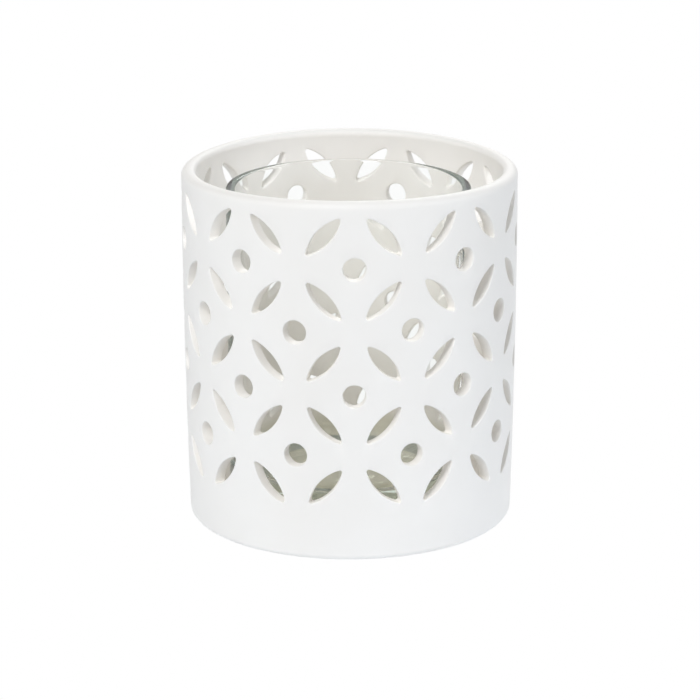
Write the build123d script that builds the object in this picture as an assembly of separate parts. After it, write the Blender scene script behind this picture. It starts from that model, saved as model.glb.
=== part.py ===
"""A pierced ceramic tealight holder with a loose glass cup standing in it, in millimetres.

The origin is at the centre of the foot, on the surface that the holder stands on. +Z is up and
the front faces -Y. The ceramic body is a pot with a straight, nearly upright side and a closed
floor. Its wall is pierced by a lattice of diamonds: a round hole in the middle of each, and a
pointed leaf along each of its four edges, which it shares with its neighbours.
"""

import os
from math import atan2, degrees, floor, pi

from build123d import *

# Ceramic body
holder_height = 100.8
foot_radius = 46.2  # outside, before the lower edge is rounded
side_flare = 1.0  # the rim's outside is this much further out than the foot's
wall = 4.4
floor_thickness = 4.4
rim_rounding = 1.8
foot_rounding = 1.8
well_rounding = 4.0  # where the inside of the wall meets the floor
foot_ring_width = 6.0
foot_ring_chamfer = 0.6  # inner edge of the ring, rubbed down before firing
foot_recess_depth = 1.4

# Lattice
diamonds_round = 9
lattice_turn = 1.35  # degrees, towards +X
rim_band = 9.2  # from the rim down to the middle of the top leaves
foot_band = 17.0  # least height for the middle of the lowest leaves
leaf_pitch = 17.55  # from one row of leaves to the next, and half a diamond high
leaf_length = 14.7  # between the points where its two arcs would meet
leaf_width = 4.4
leaf_tip_rounding = 0.7
round_hole_diameter = 6.5

# Glass cup
glass_side_gap = 7.4  # from the cup to the foot of the ceramic wall
glass_rim_drop = 6.0  # from the ceramic rim down to the glass rim
glass_wall = 2.5
glass_base = 8.0
glass_heel_rounding = 3.0
glass_bowl_rounding = 5.0
glass_foot_ring = 10.4  # width of the ring that the cup stands on, round a shallow hollow
punt_depth = 1.0

# A cutter starts and ends this far from the faces that it goes through
overrun = 2.0

# A rounded edge takes at most this share of the wall that carries it
rounding_share = 0.49

rim_radius = foot_radius + side_flare
floor_height = foot_recess_depth + floor_thickness
glass_radius = foot_radius - wall - glass_side_gap
punt_radius = glass_radius - glass_foot_ring
glass_height = holder_height - floor_height - glass_rim_drop


def turned(outline, roundings):
    """Rounds the named corners of a half section, given as (radius, height, rounding), and turns it."""
    section = make_face(Plane.XZ * outline)
    for radius, height, rounding in roundings:
        corner = section.vertices().sort_by_distance((radius, 0, height))[0]
        section = fillet(corner, rounding)
    return revolve(section, Axis.Z)


def pot():
    """The ceramic body before its wall is pierced."""
    well_foot_radius = foot_radius - wall
    well_rim_radius = rim_radius - wall
    recess_radius = foot_radius - foot_ring_width
    outline = Polyline(
        (foot_radius, 0),
        (rim_radius, holder_height),
        (well_rim_radius, holder_height),
        (well_foot_radius, floor_height),
        (0, floor_height),
        (0, foot_recess_depth),
        (recess_radius, foot_recess_depth),
        (recess_radius, foot_ring_chamfer),
        (recess_radius + foot_ring_chamfer, 0),
        close=True,
    )
    rim_edge = min(rim_rounding, wall * rounding_share)
    return turned(
        outline,
        [
            (rim_radius, holder_height, rim_edge),
            (well_rim_radius, holder_height, rim_edge),
            (well_foot_radius, floor_height, well_rounding),
            (foot_radius, 0, foot_rounding),
        ],
    )


def leaf(lean):
    """A flat leaf of two arcs with softened tips, its length leaning by an angle from level."""
    bulge = leaf_width / 2
    tip = leaf_length / 2
    edges = [
        ThreePointArc((-tip, 0), (0, bulge), (tip, 0)),
        ThreePointArc((tip, 0), (0, -bulge), (-tip, 0)),
    ]
    face = make_face(Curve() + edges)
    face = fillet(face.vertices(), leaf_tip_rounding)
    return Rot(0, 0, lean) * face


def through_wall(shape, angle, height):
    """Stands a flat shape in the wall, at an angle round from the front, as a cutter through it."""
    start = min(foot_radius, rim_radius) - wall - overrun
    depth = max(foot_radius, rim_radius) + overrun - start
    cutter = extrude(shape, depth)
    facing = Plane(origin=(0, -start, height), x_dir=(1, 0, 0), z_dir=(0, -1, 0))
    return Rot(0, 0, angle) * (facing * cutter)


def lattice():
    """Every cutter of the lattice: rows of leaves, with a row of round holes between each two."""
    step = 360 / diamonds_round / 2
    top = holder_height - rim_band
    leaf_rows = 1 + max(0, floor((top - foot_band) / leaf_pitch))
    lean = degrees(atan2(leaf_pitch, pi * rim_radius / diamonds_round))
    rising = leaf(lean)
    falling = leaf(-lean)
    hole = Circle(round_hole_diameter / 2)

    cutters = []
    for row in range(leaf_rows):
        height = top - row * leaf_pitch
        for column in range(2 * diamonds_round):
            angle = lattice_turn + (column + 0.5) * step
            shape = rising if (row + column) % 2 else falling
            cutters.append(through_wall(shape, angle, height))
        if row == leaf_rows - 1:
            break
        for diamond in range(diamonds_round):
            angle = lattice_turn + (2 * diamond + row % 2) * step
            cutters.append(through_wall(hole, angle, height - leaf_pitch / 2))
    return cutters


def glass_cup():
    """The loose cup: a straight glass with a heavy base, a shallow punt and a melted, round rim."""
    foot = floor_height
    rim = foot + glass_height
    bowl_radius = glass_radius - glass_wall
    bowl_floor = foot + glass_base
    melt = glass_wall / 2
    outline = [
        Polyline(
            (bowl_radius, rim - melt),
            (bowl_radius, bowl_floor),
            (0, bowl_floor),
            (0, foot + punt_depth),
            (punt_radius, foot),
            (glass_radius, foot),
            (glass_radius, rim - melt),
        ),
        ThreePointArc((glass_radius, rim - melt), (glass_radius - melt, rim), (bowl_radius, rim - melt)),
    ]
    return turned(
        Curve() + outline,
        [
            (glass_radius, foot, glass_heel_rounding),
            (bowl_radius, bowl_floor, glass_bowl_rounding),
        ],
    )


ceramic_holder = pot() - lattice()
parts = {"ceramic_holder": ceramic_holder, "glass_cup": glass_cup()}

os.makedirs("parts", exist_ok=True)
for name, part in parts.items():
    export_step(part, f"parts/{name}.step")
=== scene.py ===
from math import atan2, cos, pi, radians, sin, sqrt
from random import Random

import bpy
from mathutils import Matrix, Vector


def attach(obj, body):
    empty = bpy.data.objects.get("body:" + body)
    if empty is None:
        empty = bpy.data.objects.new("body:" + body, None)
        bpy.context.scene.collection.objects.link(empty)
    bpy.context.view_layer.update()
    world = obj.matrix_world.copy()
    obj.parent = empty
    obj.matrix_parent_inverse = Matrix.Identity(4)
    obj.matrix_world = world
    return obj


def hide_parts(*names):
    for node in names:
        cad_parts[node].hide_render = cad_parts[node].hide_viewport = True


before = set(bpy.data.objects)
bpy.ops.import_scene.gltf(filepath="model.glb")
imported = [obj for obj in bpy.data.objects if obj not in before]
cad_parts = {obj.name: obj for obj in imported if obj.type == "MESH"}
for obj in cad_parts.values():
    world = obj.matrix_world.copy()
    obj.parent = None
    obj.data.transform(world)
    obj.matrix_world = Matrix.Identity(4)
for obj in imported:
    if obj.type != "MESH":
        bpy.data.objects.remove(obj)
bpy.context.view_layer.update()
millimetre = 0.001
near = 1e-3  # places closer than this are taken as one
cutTolerance = 1e-5
weld = 0.004  # corners closer than this are merged where two shapes meet
square = 0.99  # cosine above which a face is taken as square to an axis


# The pot: sizes in millimetres, as the real one is made
pot = {
    "height": 100.8,
    "rimRadius": 47.0,
    "waistRadius": 46.9,  # halfway up
    "footRadius": 46.0,
    "wall": 3.6,  # where it is pierced
    "rimWall": 4.4,  # left thicker at the rim
    "floorTop": 5.8,
    "recess": 1.4,  # under the floor, inside the foot ring
    "rimSway": 0.5,  # the trimmed rim stands this much higher at the front and back than at the sides
    "footRing": 6.0,
    "rimRounding": 1.9,
    "footRounding": 1.8,
    "wellRounding": 4.0,
    "ringRounding": 0.5,
    "ringSteps": 3,
    "roundingSteps": 6,
}

lattice = {
    "diamonds": 9,
    "turn": radians(1.35),
    "topRow": 91.6,  # middle of the top leaves
    "rowPitch": 17.55,
    "leafRows": 5,
    "leafLength": 14.6,  # between its sharp tips, before they are softened
    "leafWidth": 4.4,
    "tipRounding": 0.6,
    "holeDiameter": 6.5,
    "edgeRounding": 0.25,  # where a hole breaks through the outer face
    "insideRounding": 0.5,
    "backDrop": 1.2,  # the rows sink this much towards the back
    "edgeSteps": 3,
    "sideSteps": 12,  # along each side of a leaf
    "tipSteps": 6,
    "holeVertices": 32,
    "bandLow": 13.0,  # the pierced band, between two plain ones
    "bandHigh": 97.6,
    "stripsPerDiamond": 16,
    "bandRows": 20,
    "seed": 5,
    "slip": 0.2,  # how far a hole cut by hand can be out of its place
    "slant": radians(1.2),
    "swell": 0.025,
}

glass = {
    "radius": 34.4,
    "foot": 5.8,
    "rim": 94.8,
    "wall": 2.6,
    "slip": -0.3,  # it stands loose, a little to the left
    "base": 8.0,
    "heelRounding": 3.0,
    "heelSteps": 6,
    "bowlRounding": 5.0,
    "bowlSteps": 8,
    "puntRadius": 24.0,
    "puntDepth": 1.0,
    "puntSteps": 6,
    "rimRounding": 0.7,
    "rimSteps": 5,
    "steps": 160,
}


def clearSelection():
    if bpy.context.object and bpy.context.object.mode != "OBJECT":
        bpy.ops.object.mode_set(mode="OBJECT")
    bpy.ops.object.select_all(action="DESELECT")


def pick(piece):
    clearSelection()
    piece.select_set(True)
    bpy.context.view_layer.objects.active = piece


def edit(piece, selectMode="EDGE"):
    pick(piece)
    bpy.ops.object.mode_set(mode="EDIT")
    bpy.ops.mesh.select_mode(type=selectMode)
    bpy.ops.mesh.select_all(action="DESELECT")


def selectVertices(piece, test):
    bpy.ops.object.mode_set(mode="OBJECT")
    for vertex in piece.data.vertices:
        vertex.select = test(vertex.co)
    bpy.ops.object.mode_set(mode="EDIT")


def newMesh(name, points, edges):
    mesh = bpy.data.meshes.new(name)
    mesh.from_pydata(points, edges, [])
    piece = bpy.data.objects.new(name, mesh)
    bpy.context.scene.collection.objects.link(piece)
    return piece


def applyBoolean(piece, other, operation):
    pick(piece)
    cut = piece.modifiers.new("cut", "BOOLEAN")
    cut.object = other
    cut.operation = operation
    cut.solver = "EXACT"
    bpy.ops.object.modifier_apply(modifier=cut.name)
    bpy.data.objects.remove(other)


def roundCorner(piece, radius, height, rounding, steps):
    selectVertices(piece, lambda co: abs(-co.y - radius) < near and abs(co.z - height) < near)
    bpy.ops.mesh.bevel(offset=rounding, segments=steps, affect="VERTICES", clamp_overlap=False)
    bpy.ops.mesh.select_all(action="DESELECT")


def sideRadius(height):
    # a shallow parabola through the foot, the waist and the rim
    share = height / pot["height"]
    low, middle, high = pot["footRadius"], pot["waistRadius"], pot["rimRadius"]
    return low + share * (4 * middle - 3 * low - high) + share**2 * 2 * (low + high - 2 * middle)


def makeLeaf(name, lean):
    # two arcs that run into rounded tips
    tip, bulge, soft = lattice["leafLength"] / 2, lattice["leafWidth"] / 2, lattice["tipRounding"]
    arcRadius = (tip**2 + bulge**2) / (2 * bulge)
    tipCentre = sqrt((arcRadius - soft) ** 2 - (arcRadius - bulge) ** 2)
    reach = atan2(arcRadius - bulge, tipCentre)
    half = []
    for step in range(lattice["tipSteps"]):
        angle = reach * (2 * step / lattice["tipSteps"] - 1)
        half.append((tipCentre + soft * cos(angle), soft * sin(angle)))
    for step in range(lattice["sideSteps"]):
        angle = reach + (pi - 2 * reach) * step / lattice["sideSteps"]
        half.append((arcRadius * cos(angle), bulge - arcRadius + arcRadius * sin(angle)))
    outline = half + [(-x, -z) for x, z in half]
    deep = 2 * pot["wall"]  # through the wall with room to spare
    leaf = newMesh(
        name, [(x, -deep, z) for x, z in outline], [(i, (i + 1) % len(outline)) for i in range(len(outline))]
    )
    edit(leaf)
    bpy.ops.mesh.select_all(action="SELECT")
    bpy.ops.mesh.edge_face_add()
    bpy.ops.mesh.extrude_region_move(TRANSFORM_OT_translate={"value": (0, 2 * deep, 0)})
    bpy.ops.mesh.select_all(action="SELECT")
    bpy.ops.mesh.normals_make_consistent(inside=False)
    bpy.ops.object.mode_set(mode="OBJECT")
    leaf.data.transform(Matrix.Rotation(-lean, 4, "Y"))
    return leaf


def makeRoundHole():
    bpy.ops.mesh.primitive_cylinder_add(
        vertices=lattice["holeVertices"], radius=lattice["holeDiameter"] / 2, depth=4 * pot["wall"],
        location=(0, pot["wall"] / 2, 0), rotation=(pi / 2, 0, 0),
    )
    bpy.ops.object.transform_apply(location=True, rotation=True, scale=True)
    bpy.context.object.name = "roundHole"
    return bpy.context.object


def placeCopy(piece, across, height, hand):
    copy = piece.copy()
    copy.data = piece.data.copy()
    height -= lattice["backDrop"] * (1 - cos(across / pot["rimRadius"])) / 2
    place = Matrix.Translation((across + lattice["slip"] * hand[0], 0, height + lattice["slip"] * hand[1]))
    turn = Matrix.Rotation(lattice["slant"] * hand[2], 4, "Y")
    copy.data.transform(place @ turn @ Matrix.Scale(1 + lattice["swell"] * hand[3], 4))
    bpy.context.scene.collection.objects.link(copy)
    return copy


def softenHoles(band, level, rounding):
    # rounds the edges of the holes on one face of the flat band
    round360 = 2 * pi * pot["rimRadius"]
    endShare = 0.99  # the slab's own ends lie past this share of the spare half diamond
    spare = endShare * pi * pot["rimRadius"] / lattice["diamonds"]
    edit(band)
    bpy.ops.object.mode_set(mode="OBJECT")
    mesh = band.data
    turnedOut = {}
    for face in mesh.polygons:
        flat = abs(face.normal.y) > square
        for key in face.edge_keys:
            turnedOut.setdefault(key, []).append(flat)
    for line in mesh.edges:
        a, b = (mesh.vertices[i].co for i in line.vertices)
        onFace = abs(a.y - level) < near and abs(b.y - level) < near
        border = [all(abs(p.z - lattice[side]) < near for p in (a, b)) for side in ("bandLow", "bandHigh")]
        ends = all(p.x < -spare or p.x > round360 + spare for p in (a, b))
        sharp = sorted(turnedOut[line.key]) == [False, True]
        line.select = onFace and sharp and not any(border) and not ends
    bpy.ops.object.mode_set(mode="EDIT")
    bpy.ops.mesh.bevel(offset=rounding, segments=lattice["edgeSteps"], affect="EDGES", clamp_overlap=False)


def makeBand():
    # The pierced band is cut flat, like a slab of clay, with one diamond to spare, and rolled up later.
    halfDiamond = pi * pot["rimRadius"] / lattice["diamonds"]
    lean = atan2(lattice["rowPitch"], halfDiamond)
    rising, falling, hole = makeLeaf("rising", lean), makeLeaf("falling", -lean), makeRoundHole()
    cutters = []
    chance = Random(lattice["seed"])
    columns = 2 * lattice["diamonds"]
    for row in range(lattice["leafRows"]):
        height = lattice["topRow"] - row * lattice["rowPitch"]
        hands = [[chance.uniform(-1, 1) for part in range(4)] for column in range(2 * columns)]
        for column in range(-1, columns + 1):
            leaf = rising if (row + column) % 2 else falling
            cutters.append(placeCopy(leaf, (column + 0.5) * halfDiamond, height, hands[column % columns]))
        if row < lattice["leafRows"] - 1:
            for diamond in range(lattice["diamonds"] + 1):
                across = (2 * diamond + row % 2) * halfDiamond
                hand = hands[columns + diamond % lattice["diamonds"]]
                cutters.append(placeCopy(hole, across, height - lattice["rowPitch"] / 2, hand))
    for model in (rising, falling, hole):
        bpy.data.objects.remove(model)
    clearSelection()
    for cutter in cutters:
        cutter.select_set(True)
    bpy.context.view_layer.objects.active = cutters[0]
    bpy.ops.object.join()
    allCutters = bpy.context.object

    round360 = 2 * lattice["diamonds"] * halfDiamond
    low, high = lattice["bandLow"], lattice["bandHigh"]
    bpy.ops.mesh.primitive_cube_add(size=1, location=(round360 / 2, pot["wall"] / 2, (low + high) / 2))
    band = bpy.context.object
    band.name = "band"
    band.scale = (round360 + 2 * halfDiamond, pot["wall"], high - low)
    bpy.ops.object.transform_apply(location=True, rotation=True, scale=True)
    applyBoolean(band, allCutters, "DIFFERENCE")

    softenHoles(band, 0, lattice["edgeRounding"])
    softenHoles(band, pot["wall"], lattice["insideRounding"])
    mesh = band.data
    print("band pierced and softened:", len(mesh.polygons), "faces")

    # trim it to one turn, through the middle of a column of holes, and open its top and bottom
    for place, away in ((0, -1), (round360, 1)):
        bpy.ops.mesh.select_all(action="SELECT")
        bpy.ops.mesh.bisect(
            plane_co=(place, 0, 0), plane_no=(away, 0, 0), clear_outer=True, threshold=cutTolerance
        )
    bpy.ops.mesh.select_all(action="DESELECT")
    bpy.ops.object.mode_set(mode="OBJECT")
    for face in mesh.polygons:
        atEnd = min(abs(face.center.z - low), abs(face.center.z - high)) < near
        face.select = atEnd and abs(face.normal.z) > square
    bpy.ops.object.mode_set(mode="EDIT")
    bpy.ops.mesh.select_mode(type="FACE")
    bpy.ops.mesh.delete(type="FACE")

    # strips narrow enough to roll smoothly
    strips = lattice["diamonds"] * lattice["stripsPerDiamond"]
    for strip in range(1, strips):
        bpy.ops.mesh.select_all(action="SELECT")
        bpy.ops.mesh.bisect(
            plane_co=(strip * round360 / strips, 0, 0), plane_no=(1, 0, 0), threshold=cutTolerance
        )
    for row in range(1, lattice["bandRows"]):
        level = low + (high - low) * row / lattice["bandRows"]
        bpy.ops.mesh.select_all(action="SELECT")
        bpy.ops.mesh.bisect(plane_co=(0, 0, level), plane_no=(0, 0, 1), threshold=cutTolerance)
    # where only one end has a corner, a cut through to the other end lets the two be joined
    bpy.ops.object.mode_set(mode="OBJECT")
    ends = [[v.co.z for v in mesh.vertices if abs(v.co.x - place) < near] for place in (0, round360)]
    bpy.ops.object.mode_set(mode="EDIT")
    for here, there in (ends, reversed(ends)):
        for level in here:
            if min(abs(level - other) for other in there) > 2 * near:
                bpy.ops.mesh.select_all(action="SELECT")
                bpy.ops.mesh.bisect(plane_co=(0, 0, level), plane_no=(0, 0, 1), threshold=cutTolerance)
    bpy.ops.object.mode_set(mode="OBJECT")
    print("band cut in strips:", len(mesh.polygons), "faces")

    for vertex in mesh.vertices:
        angle = lattice["turn"] + vertex.co.x / pot["rimRadius"]
        radius = sideRadius(vertex.co.z) - vertex.co.y
        vertex.co = (radius * sin(angle), -radius * cos(angle), vertex.co.z)
    return band


def makePot():
    band = makeBand()
    high, low = lattice["bandHigh"], lattice["bandLow"]
    wall, height, floorTop = pot["wall"], pot["height"], pot["floorTop"]
    recessRadius = pot["footRadius"] - pot["footRing"]
    footInside = sideRadius(floorTop) - wall
    rim = [(sideRadius(high), high), (pot["rimRadius"], height), (pot["rimRadius"] - pot["rimWall"], height)]
    rim.append((sideRadius(high) - wall, high))
    base = [(sideRadius(low) - wall, low), (footInside, floorTop), (0, floorTop)]
    shell = [(0, pot["recess"]), (recessRadius, pot["recess"]), (recessRadius, 0), (pot["footRadius"], 0)]
    shell.append((sideRadius(low), low))
    points, edges = [], []
    for line in (rim, base, shell):
        first = len(points)
        points += [(0, -radius, level) for radius, level in line]
        edges += [(first + i, first + i + 1) for i in range(len(line) - 1)]
    profile = newMesh("ceramicPot", points, edges)
    edit(profile, "VERT")
    steps = pot["roundingSteps"]
    roundCorner(profile, pot["rimRadius"], height, pot["rimRounding"], steps)
    roundCorner(profile, pot["rimRadius"] - pot["rimWall"], height, pot["rimRounding"], steps)
    roundCorner(profile, footInside, floorTop, pot["wellRounding"], steps)
    roundCorner(profile, recessRadius, pot["recess"], pot["ringRounding"], pot["ringSteps"])
    roundCorner(profile, recessRadius, 0, pot["ringRounding"], pot["ringSteps"])
    roundCorner(profile, pot["footRadius"], 0, pot["footRounding"], steps)
    bpy.ops.object.mode_set(mode="OBJECT")
    profile.data.transform(Matrix.Rotation(lattice["turn"], 4, "Z"))
    edit(profile, "VERT")
    bpy.ops.mesh.select_all(action="SELECT")
    turnSteps = lattice["diamonds"] * lattice["stripsPerDiamond"]
    bpy.ops.mesh.spin(steps=turnSteps, angle=2 * pi, center=(0, 0, 0), axis=(0, 0, 1))
    bpy.ops.object.mode_set(mode="OBJECT")

    pick(profile)
    band.select_set(True)
    bpy.ops.object.join()
    edit(profile, "VERT")
    bpy.ops.mesh.select_all(action="SELECT")
    bpy.ops.mesh.remove_doubles(threshold=weld)
    bpy.ops.mesh.normals_make_consistent(inside=False)
    bpy.ops.object.mode_set(mode="OBJECT")
    for vertex in profile.data.vertices:
        rise = max(0, (vertex.co.z - high) / (height - high))
        frontness = 1 - 2 * (vertex.co.x / pot["rimRadius"]) ** 2
        vertex.co.z += pot["rimSway"] * rise * frontness
    profile.data.transform(Matrix.Scale(millimetre, 4))
    bpy.ops.object.shade_smooth()
    return profile


def makeGlass():
    radius, wall, foot, rim = glass["radius"], glass["wall"], glass["foot"], glass["rim"]
    bowlFloor = foot + glass["base"]
    line = []
    for step in range(glass["puntSteps"] + 1):
        share = step / glass["puntSteps"]
        line.append((share * glass["puntRadius"], foot + glass["puntDepth"] * (1 - share**2)))
    line += [(radius, foot), (radius, rim), (radius - wall, rim), (radius - wall, bowlFloor), (0, bowlFloor)]
    points = [(0, -r, z) for r, z in line]
    profile = newMesh("glassCup", points, [(i, i + 1) for i in range(len(points) - 1)])
    edit(profile, "VERT")
    roundCorner(profile, radius, foot, glass["heelRounding"], glass["heelSteps"])
    roundCorner(profile, radius, rim, glass["rimRounding"], glass["rimSteps"])
    roundCorner(profile, radius - wall, rim, glass["rimRounding"], glass["rimSteps"])
    roundCorner(profile, radius - wall, bowlFloor, glass["bowlRounding"], glass["bowlSteps"])
    bpy.ops.mesh.select_all(action="SELECT")
    bpy.ops.mesh.spin(steps=glass["steps"], angle=2 * pi, center=(0, 0, 0), axis=(0, 0, 1))
    bpy.ops.mesh.select_all(action="SELECT")
    bpy.ops.mesh.remove_doubles(threshold=weld)
    bpy.ops.mesh.normals_make_consistent(inside=False)
    bpy.ops.object.mode_set(mode="OBJECT")
    profile.data.transform(Matrix.Scale(millimetre, 4) @ Matrix.Translation((glass["slip"], 0, 0)))
    bpy.ops.object.shade_smooth()
    return profile


def newMaterial(name):
    material = bpy.data.materials.new(name)
    material.use_nodes = True
    nodes = material.node_tree.nodes
    return material, nodes, material.node_tree.links, nodes["Principled BSDF"]


def bisqueMaterial():
    look = {
        "colour": (0.915, 0.895, 0.857, 1),
        "shade": (0.903, 0.88, 0.838, 1),
        "roughness": 0.55,
        "shadeUpTo": 0.3,
        "colourFrom": 0.6,
        "cloudScale": 45,  # per metre: soft patches about 20 mm across
        "cloudDetail": 3,
        "grainScale": 2600,
        "grainDepth": 0.00002,
        "waveScale": 90,
        "waveDepth": 0.0002,
    }
    material, nodes, links, shader = newMaterial("bisque")
    place = nodes.new("ShaderNodeTexCoord")
    cloud = nodes.new("ShaderNodeTexNoise")
    cloud.inputs["Scale"].default_value = look["cloudScale"]
    cloud.inputs["Detail"].default_value = look["cloudDetail"]
    ramp = nodes.new("ShaderNodeValToRGB")
    ramp.color_ramp.elements[0].color = look["shade"]
    ramp.color_ramp.elements[0].position = look["shadeUpTo"]
    ramp.color_ramp.elements[1].color = look["colour"]
    ramp.color_ramp.elements[1].position = look["colourFrom"]
    links.new(place.outputs["Object"], cloud.inputs["Vector"])
    links.new(cloud.outputs["Fac"], ramp.inputs["Fac"])
    links.new(ramp.outputs["Color"], shader.inputs["Base Color"])
    shader.inputs["Roughness"].default_value = look["roughness"]

    wave = nodes.new("ShaderNodeTexNoise")
    wave.inputs["Scale"].default_value = look["waveScale"]
    grain = nodes.new("ShaderNodeTexNoise")
    grain.inputs["Scale"].default_value = look["grainScale"]
    links.new(place.outputs["Object"], wave.inputs["Vector"])
    links.new(place.outputs["Object"], grain.inputs["Vector"])
    waveBump = nodes.new("ShaderNodeBump")
    waveBump.inputs["Distance"].default_value = look["waveDepth"]
    grainBump = nodes.new("ShaderNodeBump")
    grainBump.inputs["Distance"].default_value = look["grainDepth"]
    links.new(wave.outputs["Fac"], waveBump.inputs["Height"])
    links.new(grain.outputs["Fac"], grainBump.inputs["Height"])
    links.new(waveBump.outputs["Normal"], grainBump.inputs["Normal"])
    links.new(grainBump.outputs["Normal"], shader.inputs["Normal"])
    return material


def glassMaterial():
    look = {
        "tint": (0.985, 0.99, 0.985, 1),
        "baseTintAndShade": (0.8, 0.8, 0.7, 1),  # olive, where the glass is thick, and darker there as painted shade for the light the thick base would keep from the ceramic floor beneath it
        "baseTop": 0.0145,
        "wallFrom": 0.019,
        "roughness": 0.0,
        "index": 1.25,
        "absorbColour": (0.3, 0.5, 0.5, 1),
        "absorbDensity": 7.0,
    }
    material, nodes, links, shader = newMaterial("clearGlass")
    place = nodes.new("ShaderNodeTexCoord")
    split = nodes.new("ShaderNodeSeparateXYZ")
    # below the wall the base colour turns to the olive tint, darkened there as painted shade
    rise = nodes.new("ShaderNodeMapRange")
    rise.inputs["From Min"].default_value = look["baseTop"]
    rise.inputs["From Max"].default_value = look["wallFrom"]
    ramp = nodes.new("ShaderNodeValToRGB")
    ramp.color_ramp.elements[0].color = look["baseTintAndShade"]
    ramp.color_ramp.elements[1].color = look["tint"]
    links.new(place.outputs["Object"], split.inputs["Vector"])
    links.new(split.outputs["Z"], rise.inputs["Value"])
    links.new(rise.outputs["Result"], ramp.inputs["Fac"])
    links.new(ramp.outputs["Color"], shader.inputs["Base Color"])
    shader.inputs["Roughness"].default_value = look["roughness"]
    shader.inputs["IOR"].default_value = look["index"]
    shader.inputs["Transmission Weight"].default_value = 1
    absorb = nodes.new("ShaderNodeVolumeAbsorption")
    absorb.inputs["Color"].default_value = look["absorbColour"]
    absorb.inputs["Density"].default_value = look["absorbDensity"]
    links.new(absorb.outputs["Volume"], nodes["Material Output"].inputs["Volume"])
    return material


def finishPiece(piece, material, body, node):
    piece.name = node + "_finish"
    piece.data.materials.clear()
    piece.data.materials.append(material)
    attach(piece, body)
    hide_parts(node)
    print(piece.name, "has", len(piece.data.polygons), "faces")


def whiteWhereSeen(nodes, links):
    # 1 for rays from the camera and for those that glass and gloss send on
    rays = nodes.new("ShaderNodeLightPath")
    total = rays.outputs["Is Camera Ray"]
    for kind in ("Is Glossy Ray", "Is Transmission Ray"):
        either = nodes.new("ShaderNodeMath")
        either.operation = "MAXIMUM"
        links.new(total, either.inputs[0])
        links.new(rays.outputs[kind], either.inputs[1])
        total = either.outputs["Value"]
    return total


def setStage():
    stage = {
        "floorSize": 0.9,
        "floorColour": (0.88, 0.91, 0.96, 1),
        "floorRoughness": 0.9,
        "white": 1.0,  # where the floor and the background are seen
        "worldLight": 0.3,
    }
    clearSelection()
    bpy.ops.mesh.primitive_plane_add(size=stage["floorSize"], location=(0, 0, 0))
    floor = bpy.context.object
    floor.name = "floor"
    material, nodes, links, shader = newMaterial("paleFloor")
    shader.inputs["Base Color"].default_value = stage["floorColour"]
    shader.inputs["Roughness"].default_value = stage["floorRoughness"]
    white = nodes.new("ShaderNodeEmission")
    white.inputs["Strength"].default_value = stage["white"]
    blend = nodes.new("ShaderNodeMixShader")
    links.new(whiteWhereSeen(nodes, links), blend.inputs["Fac"])
    links.new(shader.outputs["BSDF"], blend.inputs[1])
    links.new(white.outputs["Emission"], blend.inputs[2])
    links.new(blend.outputs["Shader"], nodes["Material Output"].inputs["Surface"])
    floor.data.materials.append(material)

    world = bpy.data.worlds.new("studio")
    bpy.context.scene.world = world
    world.use_nodes = True
    nodes, links = world.node_tree.nodes, world.node_tree.links
    background = nodes["Background"]
    background.inputs["Color"].default_value = (1, 1, 1, 1)
    strength = nodes.new("ShaderNodeMix")
    strength.inputs["A"].default_value = stage["worldLight"]
    strength.inputs["B"].default_value = stage["white"]
    links.new(whiteWhereSeen(nodes, links), strength.inputs["Factor"])
    links.new(strength.outputs["Result"], background.inputs["Strength"])


def setLamps():
    aimedAt = Vector((0, 0, 0.05))
    diameter = 0.7
    lamps = {
        "key": {"place": (-0.495, -1.061, 1.091), "power": 13.8, "colour": (0.945, 0.955, 0.98)},
        "left": {"place": (-1.452, -0.389, 0.547), "power": 2.0, "colour": (0.85, 0.95, 1.0)},
        "right": {"place": (1.452, -0.389, 0.547), "power": 7.8, "colour": (0.86, 0.92, 1.0)},
        "behind": {"place": (0.228, 1.291, 0.918), "power": 6.0, "colour": (1, 1, 1)},
    }
    for name, light in lamps.items():
        data = bpy.data.lights.new(name, "AREA")
        data.shape = "DISK"
        data.size = diameter
        data.energy = light["power"]
        data.color = light["colour"]
        lamp = bpy.data.objects.new(name, data)
        lamp.location = light["place"]
        aim = aimedAt - Vector(light["place"])
        lamp.rotation_euler = aim.to_track_quat("-Z", "Y").to_euler()
        lamp.visible_camera = False
        bpy.context.scene.collection.objects.link(lamp)


def setCamera():
    view = {
        "place": (0, -0.7974, 0.2868),
        "pitch": radians(16.757),
        "roll": -0.0028,
        "lens": 150.37,
        "sensor": 36.0,
        "clipStart": 0.01,
    }
    camera = bpy.data.cameras.new("camera")
    camera.lens = view["lens"]
    camera.sensor_width = view["sensor"]
    camera.clip_start = view["clipStart"]
    holder = bpy.data.objects.new("camera", camera)
    turn = Matrix.Rotation(pi / 2 - view["pitch"], 4, "X") @ Matrix.Rotation(view["roll"], 4, "Z")
    holder.matrix_world = Matrix.Translation(view["place"]) @ turn
    bpy.context.scene.collection.objects.link(holder)
    bpy.context.scene.camera = holder


def setBounces():
    # light crosses the thick glass and the white inside many times
    bounces = {"glass": 32, "diffuse": 10}
    paths = bpy.context.scene.cycles
    paths.max_bounces = bounces["glass"]
    paths.transmission_bounces = bounces["glass"]
    paths.glossy_bounces = bounces["glass"]
    paths.diffuse_bounces = bounces["diffuse"]


print("stage, lamps and camera")
setStage()
setLamps()
setCamera()
bpy.context.scene.view_settings.view_transform = "Standard"
setBounces()

print("ceramic pot")
potPiece = makePot()
finishPiece(potPiece, bisqueMaterial(), "ceramic_body", "ceramic_holder")

print("glass cup")
glassPiece = makeGlass()
finishPiece(glassPiece, glassMaterial(), "glass_insert", "glass_cup")
glassPiece.visible_shadow = False  # lets the light through, as clear glass does
glassPiece.visible_diffuse = False
